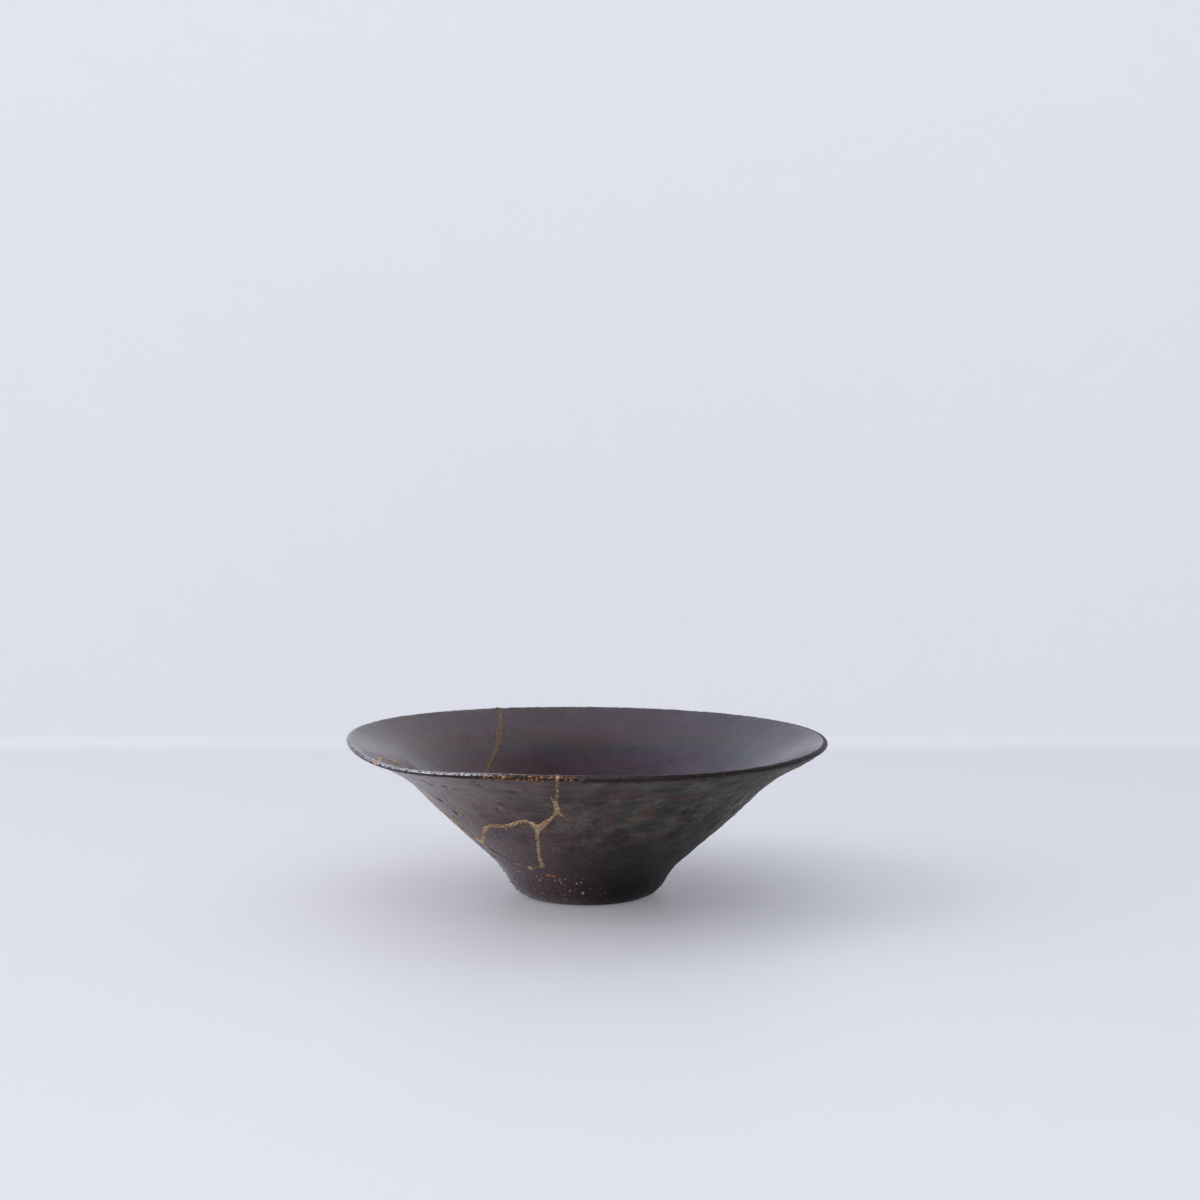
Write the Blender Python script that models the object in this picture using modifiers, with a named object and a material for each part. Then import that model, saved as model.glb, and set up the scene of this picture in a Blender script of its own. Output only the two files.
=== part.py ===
"""A kintsugi bowl: thrown stoneware, broken, and mended with gold lacquer.

The bowl is an open cone on a small foot, with a flared rim and a thin rounded
lip. Two sherds at the front left are set back into the wall, and a crack in
the far wall is filled. The gold stands a little proud of the clay on both
faces. Metres, +Z up, origin at the middle of the foot's underside.

Azimuth is measured in degrees round the bowl, from +X towards +Y. The front
of the bowl faces -Y. A share of the wall is 0 at the foot's outer edge and 1
at the rim, measured straight out from the axis.
"""
import math

import bmesh
import bpy
from mathutils import Vector

# Sizes of the thrown bowl
RIM_RADIUS = 0.0750
BOWL_HEIGHT = 0.0492
FOOT_RADIUS = 0.0190
FOOT_RING_WIDTH = 0.0052
FOOT_RECESS = 0.0012
WALL_THICKNESS = 0.0024
FLOOR_THICKNESS = 0.0042
LIP_THICKNESS = 0.0017
LIP_SLOPE = math.radians(30.0)
THINNING_START = 0.6

# How far the kiln and the potter's hand left the wall out of true
RIM_TILT = 0.0015
RIM_SADDLE = 0.0008
WALL_LEAN = 0.0008

# Dips in the rim: azimuth, spread in degrees, depth. A high power keeps them,
# and the rim's freedom from the lean, to the last of the wall.
RIM_DIPS = [
    (221.0, 25.0, 0.0027),
    (310.0, 30.0, 0.0006),
]
RIM_ONLY_POWER = 8.0

# Gold lacquer joints
GOLD_PROUD = 0.00030
SEAM_GAP = 0.00030
CUT_SLOPE = math.radians(-47.0)
CUT_OUTWARD = 0.0250
CUT_INWARD = 0.0120
PAST_THE_LIP = 1.08
RIM_ARC_STEP = 8.0

# The outer wall from the foot's edge to the start of the lip, as shares of
# the way out to the rim and of the bowl's height
WALL_SHAPE = [
    (0.000, 0.000),
    (0.040, 0.022),
    (0.082, 0.066),
    (0.113, 0.124),
    (0.163, 0.200),
    (0.262, 0.307),
    (0.449, 0.500),
    (0.627, 0.697),
    (0.745, 0.803),
    (0.855, 0.878),
    (0.939, 0.932),
]
WALL_STEPS = 2
WELL_START = 4
WELL_STEPS = 4
FLATTEST_WELL_POWER = 2.0
LIP_STEPS = 4
TURN_STEPS = 64
MERGE_DISTANCE = 0.00001
SHARP_ANGLE = math.radians(35.0)

# Where the joints meet: azimuth, share of the wall, width
UPPER_KNOT = (252.6, 0.526, 0.0032)
LEFT_KNOT = (214.5, 0.351, 0.0024)
LOWER_KNOT = (246.2, 0.250, 0.0022)

# Routes of the joints in the front: azimuth, share of the wall, width
RIM_TO_UPPER = [
    (264.3, PAST_THE_LIP, 0.0013),
    (263.2, 0.915, 0.0012),
    (261.9, 0.785, 0.0013),
    (260.9, 0.700, 0.0018),
    (260.8, 0.652, 0.0018),
    (257.9, 0.590, 0.0015),
    UPPER_KNOT,
]
UPPER_TO_LEFT = [
    UPPER_KNOT,
    (249.7, 0.558, 0.0020),
    (247.4, 0.563, 0.0018),
    (244.6, 0.546, 0.0018),
    (239.5, 0.520, 0.0016),
    (233.2, 0.508, 0.0018),
    (229.0, 0.487, 0.0018),
    (225.4, 0.452, 0.0017),
    (221.7, 0.407, 0.0017),
    LEFT_KNOT,
]
LEFT_TO_RIM = [
    LEFT_KNOT,
    (209.6, 0.366, 0.0016),
    (207.2, 0.402, 0.0016),
    (206.0, 0.440, 0.0018),
    (203.0, 0.485, 0.0016),
    (194.0, 0.545, 0.0015),
    (187.5, 0.680, 0.0014),
    (191.0, 0.790, 0.0015),
    (200.0, 0.885, 0.0015),
    (210.0, 0.960, 0.0017),
    (217.5, PAST_THE_LIP, 0.0019),
]
LEFT_TO_LOWER = [
    LEFT_KNOT,
    (214.8, 0.314, 0.0014),
    (217.2, 0.288, 0.0014),
    (221.8, 0.268, 0.0013),
    (229.0, 0.232, 0.0014),
    (235.7, 0.221, 0.0016),
    (241.1, 0.228, 0.0016),
    LOWER_KNOT,
]
UPPER_TO_LOWER = [
    UPPER_KNOT,
    (250.9, 0.477, 0.0015),
    (249.7, 0.420, 0.0014),
    (248.2, 0.362, 0.0014),
    (246.7, 0.300, 0.0016),
    LOWER_KNOT,
]

# The filled crack in the far wall
BACK_CRACK = [
    (113.6, PAST_THE_LIP, 0.0018),
    (115.7, 0.900, 0.0018),
    (118.9, 0.795, 0.0022),
    (122.2, 0.702, 0.0020),
    (126.1, 0.643, 0.0018),
    (130.1, 0.595, 0.0017),
    (134.8, 0.545, 0.0016),
    (140.6, 0.480, 0.0014),
    (146.4, 0.410, 0.0012),
    (151.2, 0.340, 0.0009),
]
SEAM_STEPS = 2
SHARPEST_MITRE = 1.3

# Colour, roughness and metallic value of the clay and the gold
BODY_CLAY = ((0.045, 0.038, 0.037, 1.0), 0.55, 0.0)
SHERD_CLAY = ((0.055, 0.042, 0.041, 1.0), 0.55, 0.0)
OLD_GOLD = ((0.43, 0.25, 0.09, 1.0), 0.45, 0.85)


def clear_scene():
    for item in list(bpy.data.objects):
        bpy.data.objects.remove(item, do_unlink=True)


def new_collection(name):
    collection = bpy.data.collections.new(name)
    bpy.context.scene.collection.children.link(collection)
    return collection


def surface(name, finish_values):
    colour, roughness, metallic = finish_values
    material = bpy.data.materials.new(name)
    material.use_nodes = True
    shader = material.node_tree.nodes["Principled BSDF"]
    shader.inputs["Base Color"].default_value = colour
    shader.inputs["Roughness"].default_value = roughness
    shader.inputs["Metallic"].default_value = metallic
    material.diffuse_color = colour
    return material


def smooth_line(points, steps):
    """Points on a smooth curve that passes through all the points given."""
    columns = len(points[0])
    padded = [points[0]] + list(points) + [points[-1]]
    line = []
    for i in range(1, len(padded) - 2):
        before, start, end, after = padded[i - 1:i + 3]
        for step in range(steps):
            t = step / steps
            weights = (
                (-t + 2 * t ** 2 - t ** 3) / 2,
                (2 - 5 * t ** 2 + 3 * t ** 3) / 2,
                (t + 4 * t ** 2 - 3 * t ** 3) / 2,
                (t ** 3 - t ** 2) / 2,
            )
            corners = (before, start, end, after)
            line.append(tuple(
                sum(w * p[k] for w, p in zip(weights, corners))
                for k in range(columns)
            ))
    line.append(tuple(points[-1]))
    return line


def line_normals(line):
    """Unit normals to the right of a line's direction, one at each point."""
    normals = []
    for i in range(len(line)):
        back = line[max(i - 1, 0)]
        ahead = line[min(i + 1, len(line) - 1)]
        along = Vector((ahead[0] - back[0], ahead[1] - back[1])).normalized()
        normals.append(Vector((along.y, -along.x)))
    return normals


def outer_line():
    """The outer wall as (radius, height), from the foot's edge to the lip."""
    reach = RIM_RADIUS - FOOT_RADIUS
    points = [(FOOT_RADIUS + reach * out, BOWL_HEIGHT * up) for out, up in WALL_SHAPE]
    points.append(lip_point(LIP_SLOPE - math.pi / 2))
    return smooth_line(points, WALL_STEPS)


def lip_point(angle):
    """A point on the lip's rounded edge, as (radius, height)."""
    half = LIP_THICKNESS / 2
    return (
        RIM_RADIUS - half + half * math.cos(angle),
        BOWL_HEIGHT - half + half * math.sin(angle),
    )


def thickness_at(share):
    """Wall thickness, easing down to the lip's over the last of the wall."""
    ease = min(max((share - THINNING_START) / (1 - THINNING_START), 0.0), 1.0)
    return WALL_THICKNESS + (LIP_THICKNESS - WALL_THICKNESS) * ease


def share_of(radius):
    return (radius - FOOT_RADIUS) / (RIM_RADIUS - FOOT_RADIUS)


def inner_line(outer):
    """The inside, from the middle of the floor up to the lip."""
    normals = line_normals(outer)
    wall = []
    for (radius, height), normal in list(zip(outer, normals))[WELL_START * WALL_STEPS:-1]:
        thick = thickness_at(share_of(radius))
        wall.append((radius - thick * normal.x, height - thick * normal.y))
    floor = FOOT_RECESS + FLOOR_THICKNESS
    start, following = wall[0], wall[1]
    slope = (following[1] - start[1]) / (following[0] - start[0])
    rise = start[1] - floor
    power = max(slope * start[0] / rise, FLATTEST_WELL_POWER)
    well = []
    for step in range(WELL_STEPS):
        share = 1 - (1 - step / WELL_STEPS) ** 2
        well.append((start[0] * share, floor + rise * share ** power))
    return well + wall


def bowl_profile(grow):
    """Half section of the bowl, from the floor over the lip to the underside.

    grow moves the whole skin outwards, for the gold that stands proud.
    """
    outer = outer_line()
    lip_start = LIP_SLOPE + math.pi / 2
    lip = [lip_point(lip_start - math.pi * step / LIP_STEPS) for step in range(LIP_STEPS)]
    ring_inner = FOOT_RADIUS - FOOT_RING_WIDTH
    underside = [
        (ring_inner, 0.0),
        (ring_inner - FOOT_RECESS, FOOT_RECESS),
        (0.0, FOOT_RECESS),
    ]
    line = inner_line(outer) + lip + outer[::-1] + underside
    if grow == 0.0:
        return line
    grown = []
    for point, normal in zip(line, line_normals(line)):
        grown.append((point[0] - grow * normal.x, point[1] - grow * normal.y))
    grown[0] = (0.0, grown[0][1])
    grown[-1] = (0.0, grown[-1][1])
    return grown


def turned(name, profile, collection):
    """A solid of revolution about Z, as a plain mesh object."""
    mesh = bpy.data.meshes.new(name)
    points = [(radius, 0.0, height) for radius, height in profile]
    edges = [(i, i + 1) for i in range(len(points) - 1)]
    mesh.from_pydata(points, edges, [])
    item = bpy.data.objects.new(name, mesh)
    collection.objects.link(item)
    screw = item.modifiers.new("Turned", "SCREW")
    screw.axis = "Z"
    screw.angle = 2 * math.pi
    screw.steps = TURN_STEPS
    screw.render_steps = TURN_STEPS
    screw.use_merge_vertices = True
    screw.merge_threshold = MERGE_DISTANCE
    return applied(item)


def applied(item):
    """Replace an object's mesh by the one that its modifiers make."""
    bpy.context.view_layer.update()
    graph = bpy.context.evaluated_depsgraph_get()
    mesh = bpy.data.meshes.new_from_object(item.evaluated_get(graph))
    item.modifiers.clear()
    item.data = mesh
    return item


def on_wall(azimuth, share):
    """The outer wall's point at an azimuth and a share, past the lip too."""
    line = outer_line()
    tip = line[-1]
    ahead = RIM_RADIUS * PAST_THE_LIP
    line.append((tip[0] + ahead * math.cos(LIP_SLOPE), tip[1] + ahead * math.sin(LIP_SLOPE)))
    radius = FOOT_RADIUS + share * (RIM_RADIUS - FOOT_RADIUS)
    i = next(k for k in range(len(line)) if line[k + 1][0] > radius)
    t = (radius - line[i][0]) / (line[i + 1][0] - line[i][0])
    height = line[i][1] + t * (line[i + 1][1] - line[i][1])
    return turned_point(azimuth, radius, height)


def turned_point(azimuth, radius, height):
    angle = math.radians(azimuth)
    return Vector((radius * math.cos(angle), radius * math.sin(angle), height))


def cut_direction(azimuth):
    """The way that the joints pass through the wall, square to its cone."""
    return turned_point(azimuth, math.cos(CUT_SLOPE), math.sin(CUT_SLOPE))


def shifted_outline(route, closed, shift):
    """A route's points on the wall, each moved sideways within the wall.

    shift turns a joint's width into the distance moved to the right of the
    way that the route runs, seen from outside: into a loop that runs
    clockwise. The points of a rim arc have no width and stay in place.
    """
    points = [on_wall(azimuth, share) for azimuth, share, width in route]
    count = len(points)
    outline = []
    for i, (azimuth, share, width) in enumerate(route):
        back = points[i - 1] if closed or i > 0 else points[i]
        ahead = points[(i + 1) % count] if closed or i < count - 1 else points[i]
        arriving = (points[i] - back).normalized()
        leaving = (ahead - points[i]).normalized()
        along = (arriving + leaving).normalized()
        square = max(along.dot(leaving), along.dot(arriving))
        mitre = min(1 / square, SHARPEST_MITRE)
        right = along.cross(cut_direction(azimuth)).normalized()
        distance = 0.0 if width == 0.0 else shift(width) * mitre
        outline.append((azimuth, points[i] + distance * right))
    return outline


def through_wall(name, outline, collection):
    """A cutter with the given outline that passes right through the wall."""
    bm = bmesh.new()
    outside = []
    inside = []
    for azimuth, point in outline:
        way = cut_direction(azimuth)
        outside.append(bm.verts.new(point + CUT_OUTWARD * way))
        inside.append(bm.verts.new(point - CUT_INWARD * way))
    count = len(outline)
    for i in range(count):
        j = (i + 1) % count
        bm.faces.new((outside[i], outside[j], inside[j], inside[i]))
    bm.faces.new(outside[::-1])
    bm.faces.new(inside)
    bmesh.ops.triangulate(bm, faces=bm.faces)
    bmesh.ops.recalc_face_normals(bm, faces=bm.faces)
    cutter = linked(name, bm, collection)
    cutter.hide_render = True
    cutter.display_type = "WIRE"
    return cutter


def linked(name, bm, collection):
    mesh = bpy.data.meshes.new(name)
    bm.to_mesh(mesh)
    bm.free()
    item = bpy.data.objects.new(name, mesh)
    collection.objects.link(item)
    return item


def chained(*routes):
    """Routes run one after another as one smooth line each, in one list."""
    chain = []
    for route in routes:
        chain += smooth_line(route, SEAM_STEPS)[:-1]
    return chain


def rim_arc(start, end):
    """Points past the lip from one azimuth to another, for an open side."""
    count = math.ceil(abs(end - start) / RIM_ARC_STEP)
    return [
        (start + (end - start) * i / count, PAST_THE_LIP, 0.0)
        for i in range(count)
    ]


def both_sherds():
    """The line round both sherds together, clockwise from outside."""
    path = chained(RIM_TO_UPPER, UPPER_TO_LOWER, LEFT_TO_LOWER[::-1], LEFT_TO_RIM)
    return path + rim_arc(LEFT_TO_RIM[-1][0], RIM_TO_UPPER[0][0])


def rim_sherd_edge():
    path = chained(RIM_TO_UPPER, UPPER_TO_LEFT, LEFT_TO_RIM)
    return path + rim_arc(LEFT_TO_RIM[-1][0], RIM_TO_UPPER[0][0])


def wall_sherd_edge():
    return chained(UPPER_TO_LOWER, LEFT_TO_LOWER[::-1], UPPER_TO_LEFT[::-1])


def crack_edge(to_right, to_left):
    """The line round the filled crack, down one side and up the other."""
    route = smooth_line(BACK_CRACK, SEAM_STEPS)
    right = shifted_outline(route, False, to_right)
    left = shifted_outline(route, False, to_left)
    return right + left[::-1]


def combine(item, others, operation):
    """Boolean each cutter with the item, keep the plain mesh, drop the cutters."""
    for other in others:
        change = item.modifiers.new(operation.title(), "BOOLEAN")
        change.operation = operation
        change.solver = "EXACT"
        change.object = other
    applied(item)
    for other in others:
        bpy.data.objects.remove(other, do_unlink=True)
    return item


def tilt_at(angle):
    """How far the rim is lifted by its tilt and saddle, at an angle in radians."""
    return -RIM_TILT / 2 * math.cos(angle) + RIM_SADDLE * math.cos(angle) ** 2


def dip_at(angle):
    """How far the dips lower the rim, at an angle in radians."""
    dip = 0.0
    for centre, spread, depth in RIM_DIPS:
        turn = angle - math.radians(centre)
        away = math.degrees(math.atan2(math.sin(turn), math.cos(turn)))
        dip += depth * math.exp(-(away / spread) ** 2)
    return dip


def ease_out_of_true(item):
    """Tilt the wall, dip its rim and lean it to +X, and leave the foot flat."""
    for vert in item.data.vertices:
        x, y, z = vert.co
        share = max(z, 0.0) / BOWL_HEIGHT
        rim_only = share ** RIM_ONLY_POWER
        angle = math.atan2(y, x)
        vert.co.x = x + WALL_LEAN * share * (1 - rim_only)
        vert.co.z = z + tilt_at(angle) * share - dip_at(angle) * rim_only


def finish(item, material):
    ease_out_of_true(item)
    item.data.materials.clear()
    item.data.materials.append(material)
    item.data.shade_smooth()
    item.data.set_sharp_from_angle(angle=SHARP_ANGLE)


def to_gold_outside(width):
    return -width / 2


def to_gold_inside(width):
    return width / 2


def to_bowl_edge(width):
    return -width / 2 - SEAM_GAP


def to_sherd_edge(width):
    return width / 2 + SEAM_GAP


def make_body(parts, cutters):
    body = turned("bowl_body", bowl_profile(0.0), parts)
    outline = shifted_outline(both_sherds(), True, to_bowl_edge)
    opening = through_wall("sherd_opening", outline, cutters)
    crack = through_wall("crack_slot", crack_edge(to_sherd_edge, to_bowl_edge), cutters)
    combine(body, [opening, crack], "DIFFERENCE")
    finish(body, surface("dark_glazed_stoneware", BODY_CLAY))


def make_sherds(parts, cutters):
    sherds = {"rim_sherd": rim_sherd_edge(), "wall_sherd": wall_sherd_edge()}
    for name, edge in sherds.items():
        sherd = turned(name, bowl_profile(0.0), parts)
        outline = shifted_outline(edge, True, to_sherd_edge)
        combine(sherd, [through_wall(f"{name}_outline", outline, cutters)], "INTERSECT")
        finish(sherd, surface(f"{name}_stoneware", SHERD_CLAY))


def make_gold(parts, cutters):
    """The gold joints, cut from a skin that stands proud of the clay."""
    gold = surface("gold_lacquer", OLD_GOLD)
    front = turned("gold_seam_front", bowl_profile(GOLD_PROUD), parts)
    outline = shifted_outline(both_sherds(), True, to_gold_outside)
    combine(front, [through_wall("gold_outline", outline, cutters)], "INTERSECT")
    sherd_holes = [
        through_wall("sherd_hole", shifted_outline(edge, True, to_gold_inside), cutters)
        for edge in (rim_sherd_edge(), wall_sherd_edge())
    ]
    combine(front, sherd_holes, "DIFFERENCE")
    finish(front, gold)
    back = turned("gold_seam_back", bowl_profile(GOLD_PROUD), parts)
    outline = crack_edge(to_gold_inside, to_gold_outside)
    combine(back, [through_wall("crack_fill", outline, cutters)], "INTERSECT")
    finish(back, gold)


clear_scene()
bowl_parts = new_collection("kintsugi_bowl")
bowl_cutters = new_collection("cutters")
make_body(bowl_parts, bowl_cutters)
make_sherds(bowl_parts, bowl_cutters)
make_gold(bowl_parts, bowl_cutters)
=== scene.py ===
"""The looks of a kintsugi bowl, built round its solid model.

The sections follow the bowl as it was made: the thrown clay, the break, the
grit burnt into the glaze, and the gold lacquer that joins the pieces again.
The table and the light come last. Metres, +Z up, the front of the bowl faces -Y.

Azimuth is in degrees round the bowl, from +X towards +Y. A share of the wall
is 0 at the foot's outer edge and 1 at the rim, measured straight out.
"""
import math
from functools import partial

import bmesh
import bpy
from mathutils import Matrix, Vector
from mathutils.bvhtree import BVHTree


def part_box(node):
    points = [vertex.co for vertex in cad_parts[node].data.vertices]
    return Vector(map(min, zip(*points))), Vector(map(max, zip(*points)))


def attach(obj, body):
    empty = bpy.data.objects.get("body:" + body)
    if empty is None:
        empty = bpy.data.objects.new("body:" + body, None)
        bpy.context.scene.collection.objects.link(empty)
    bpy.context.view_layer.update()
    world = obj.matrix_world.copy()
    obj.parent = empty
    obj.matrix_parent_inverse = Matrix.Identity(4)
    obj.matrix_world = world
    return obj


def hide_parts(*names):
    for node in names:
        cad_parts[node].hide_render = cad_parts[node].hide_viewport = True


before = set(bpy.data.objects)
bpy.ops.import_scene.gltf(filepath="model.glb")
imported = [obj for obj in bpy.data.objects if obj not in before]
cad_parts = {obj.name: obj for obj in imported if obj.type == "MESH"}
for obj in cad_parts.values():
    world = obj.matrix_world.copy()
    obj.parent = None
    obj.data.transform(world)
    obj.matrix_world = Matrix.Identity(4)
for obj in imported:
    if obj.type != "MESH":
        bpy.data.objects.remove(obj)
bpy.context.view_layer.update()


# The thrown bowl
# Dark, iron-bearing stoneware, thrown on a wheel in one piece: a small foot, a
# thin straight cone of a wall, and a flared rim with a rounded lip. It is
# turned whole here, as it was before it broke.
body_low, body_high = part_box("bowl_body")
RIM_RADIUS = (body_high.x - body_low.x) / 2
FOOT_RADIUS = 0.0190
FOOT_RING_WIDTH = 0.0052
FOOT_RECESS = 0.0012
WALL_THICKNESS = 0.0024
FLOOR_THICKNESS = 0.0042
LIP_THICKNESS = 0.0017
LIP_SLOPE = math.radians(30.0)
THINNING_START = 0.6

# How far the kiln left the wall out of true, and the rim's dips: azimuth,
# spread, depth. The high power keeps the dips to the last of the wall.
RIM_TILT = 0.0015
RIM_SADDLE = 0.0008
WALL_LEAN = 0.0008
RIM_DIPS = [
    (221.0, 25.0, 0.0027),
    (310.0, 30.0, 0.0006),
]
RIM_ONLY_POWER = 8.0

# The outer wall as shares of the way out to the rim and of the bowl's height
WALL_SHAPE = [
    (0.000, 0.000),
    (0.040, 0.022),
    (0.082, 0.066),
    (0.113, 0.124),
    (0.163, 0.200),
    (0.262, 0.307),
    (0.449, 0.500),
    (0.627, 0.697),
    (0.745, 0.803),
    (0.855, 0.878),
    (0.939, 0.932),
]
CURVE_STEPS = 12
WELL_START = 4
OUTSIDE_SPACING = 0.00070
INSIDE_SPACING = 0.00150
UNDERSIDE_SPACING = 0.0016
LIP_STEPS = 10
TURN_STEPS = 540
INSIDE, OUTSIDE, UNDERSIDE = 0.0, 1.0, 2.0


def tilt_at(angle):
    """How far the rim is lifted by its tilt and saddle, at an angle in radians."""
    return -RIM_TILT / 2 * math.cos(angle) + RIM_SADDLE * math.cos(angle) ** 2


def dip_at(angle):
    """How far the dips lower the rim, at an angle in radians."""
    dip = 0.0
    for centre, spread, depth in RIM_DIPS:
        turn = angle - math.radians(centre)
        away = math.degrees(math.atan2(math.sin(turn), math.cos(turn)))
        dip += depth * math.exp(-(away / spread) ** 2)
    return dip


RIM_ANGLES = [math.radians(degrees) for degrees in range(360)]
BOWL_HEIGHT = body_high.z - max(tilt_at(angle) - dip_at(angle) for angle in RIM_ANGLES)


def smooth_line(points, steps):
    """Points on a smooth curve that passes through all the points given."""
    columns = range(len(points[0]))
    padded = [points[0]] + list(points) + [points[-1]]
    line = []
    for i in range(1, len(padded) - 2):
        corners = padded[i - 1:i + 3]
        for step in range(steps):
            t = step / steps
            weights = (
                (-t + 2 * t ** 2 - t ** 3) / 2,
                (2 - 5 * t ** 2 + 3 * t ** 3) / 2,
                (t + 4 * t ** 2 - 3 * t ** 3) / 2,
                (t ** 3 - t ** 2) / 2,
            )
            line.append(tuple(sum(w * p[k] for w, p in zip(weights, corners)) for k in columns))
    line.append(tuple(points[-1]))
    return line


def line_normals(line):
    """Unit normals to the right of a line's direction, one at each point."""
    normals = []
    for i in range(len(line)):
        back = line[max(i - 1, 0)]
        ahead = line[min(i + 1, len(line) - 1)]
        along = Vector((ahead[0] - back[0], ahead[1] - back[1])).normalized()
        normals.append(Vector((along.y, -along.x)))
    return normals


def evenly(line, spacing):
    """The same line with its points a steady distance apart."""
    corners = [Vector(point) for point in line]
    lengths = [(b - a).length for a, b in zip(corners, corners[1:])]
    count = math.ceil(sum(lengths) / spacing)
    step = sum(lengths) / count
    points = []
    gone, i = 0.0, 0
    for k in range(count):
        while gone + lengths[i] < k * step:
            gone += lengths[i]
            i += 1
        points.append(tuple(corners[i].lerp(corners[i + 1], (k * step - gone) / lengths[i])))
    return points + [tuple(line[-1])]


def lip_point(angle):
    """A point on the lip's rounded edge, as (radius, height)."""
    half = LIP_THICKNESS / 2
    return (
        RIM_RADIUS - half + half * math.cos(angle),
        BOWL_HEIGHT - half + half * math.sin(angle),
    )


def outer_line():
    """The outer wall as (radius, height), from the foot's edge to the lip."""
    reach = RIM_RADIUS - FOOT_RADIUS
    points = [(FOOT_RADIUS + reach * out, BOWL_HEIGHT * up) for out, up in WALL_SHAPE]
    points.append(lip_point(LIP_SLOPE - math.pi / 2))
    return smooth_line(points, CURVE_STEPS)


def thickness_at(radius):
    """Wall thickness, easing down to the lip's over the last of the wall."""
    share = (radius - FOOT_RADIUS) / (RIM_RADIUS - FOOT_RADIUS)
    ease = min(max((share - THINNING_START) / (1 - THINNING_START), 0.0), 1.0)
    return WALL_THICKNESS + (LIP_THICKNESS - WALL_THICKNESS) * ease


def inner_line(outer):
    """The inside as (radius, height), from the middle of the floor to the lip."""
    wall = []
    wall_only = slice(WELL_START * CURVE_STEPS, -1)
    for (radius, height), normal in zip(outer[wall_only], line_normals(outer)[wall_only]):
        thick = thickness_at(radius)
        wall.append((radius - thick * normal.x, height - thick * normal.y))
    floor = FOOT_RECESS + FLOOR_THICKNESS
    start, following = wall[0], wall[1]
    slope = (following[1] - start[1]) / (following[0] - start[0])
    rise = start[1] - floor
    power = max(slope * start[0] / rise, 2.0)
    well = []
    for step in range(CURVE_STEPS):
        share = 1 - (1 - step / CURVE_STEPS) ** 2
        well.append((start[0] * share, floor + rise * share ** power))
    return well + wall


def linked(name, mesh):
    item = bpy.data.objects.new(name, mesh)
    bpy.context.scene.collection.objects.link(item)
    return item


def evaluated_mesh(item):
    bpy.context.view_layer.update()
    graph = bpy.context.evaluated_depsgraph_get()
    return bpy.data.meshes.new_from_object(item.evaluated_get(graph))


def turned_bowl():
    """The whole bowl turned about Z, with its skins marked in an attribute."""
    outer = outer_line()
    ring_inner = FOOT_RADIUS - FOOT_RING_WIDTH
    foot_line = [
        outer[0],
        (ring_inner, 0.0),
        (ring_inner - FOOT_RECESS, FOOT_RECESS),
        (0.0, FOOT_RECESS),
    ]
    inside = evenly(inner_line(outer), INSIDE_SPACING)
    lip_start = LIP_SLOPE + math.pi / 2
    lip = [lip_point(lip_start - math.pi * step / LIP_STEPS) for step in range(LIP_STEPS)]
    outside = evenly(outer, OUTSIDE_SPACING)[::-1]
    underside = []
    for side in zip(foot_line, foot_line[1:]):
        underside += evenly(side, UNDERSIDE_SPACING)[1:]
    skins = [
        (INSIDE, inside),
        (OUTSIDE, lip + outside),
        (UNDERSIDE, underside),
    ]
    profile = [(radius, 0.0, height) for skin, line in skins for radius, height in line]
    marks = [skin for skin, line in skins for point in line]
    mesh = bpy.data.meshes.new("uncut_bowl")
    mesh.from_pydata(profile, [(i, i + 1) for i in range(len(profile) - 1)], [])
    mesh.attributes.new("skin", "FLOAT", "POINT").data.foreach_set("value", marks)
    bowl = linked("uncut_bowl", mesh)
    screw = bowl.modifiers.new("Wheel", "SCREW")
    screw.steps = TURN_STEPS
    screw.render_steps = TURN_STEPS
    screw.use_merge_vertices = True
    screw.merge_threshold = 0.00001
    bowl.data = evaluated_mesh(bowl)
    bowl.modifiers.clear()
    return bowl


uncut_bowl = turned_bowl()
uncut_bowl.hide_render = True


# The glazes
# One iron glaze over dark clay. Inside it melted and ran smooth, and its skin
# of iron crystals shows faint rings of colour. Outside it stayed thin, dry and
# pitted over the rough clay. The lip took a thicker, glossier bead of it.
MM = 0.001


def linear(hex_colour):
    """A shader colour from an sRGB hex value."""
    channels = [int(hex_colour[i:i + 2], 16) / 255 for i in (0, 2, 4)]
    return (*(c / 12.92 if c <= 0.04045 else ((c + 0.055) / 1.055) ** 2.4 for c in channels), 1.0)


def feed(node, inputs):
    """Set or link a node's inputs, given by name or in the order of those in use."""
    in_use = [socket for socket in node.inputs if socket.enabled]
    if not isinstance(inputs, dict):
        inputs = dict(enumerate(inputs))
    for key, value in inputs.items():
        socket = in_use[key] if isinstance(key, int) else node.inputs[key]
        if isinstance(value, bpy.types.Node):
            value = next(output for output in value.outputs if output.enabled)
        if isinstance(value, bpy.types.NodeSocket):
            node.id_data.links.new(value, socket)
        else:
            socket.default_value = value


def add_node(tree, kind, inputs=(), operation=None, stops=(), **settings):
    """Add a node, set its operation and other settings, colour stops and inputs."""
    families = ("GeometryNode", "FunctionNode", "ShaderNode", "Node")
    kinds = [family + kind for family in families if hasattr(bpy.types, family + kind)]
    node = tree.nodes.new(kinds[0])
    if operation:
        settings["operation"] = operation
    for name, value in settings.items():
        setattr(node, name, value)
    for i, (position, colour) in enumerate(stops):
        elements = node.color_ramp.elements
        element = elements[i] if i < 2 else elements.new(position)
        element.position, element.color = position, linear(colour)
    feed(node, inputs)
    return node


def new_material(name):
    """A material, the function that adds nodes to it, and its shader."""
    material = bpy.data.materials.new(name)
    material.use_nodes = True
    tree = material.node_tree
    return material, partial(add_node, tree), tree.nodes["Principled BSDF"]


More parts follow.
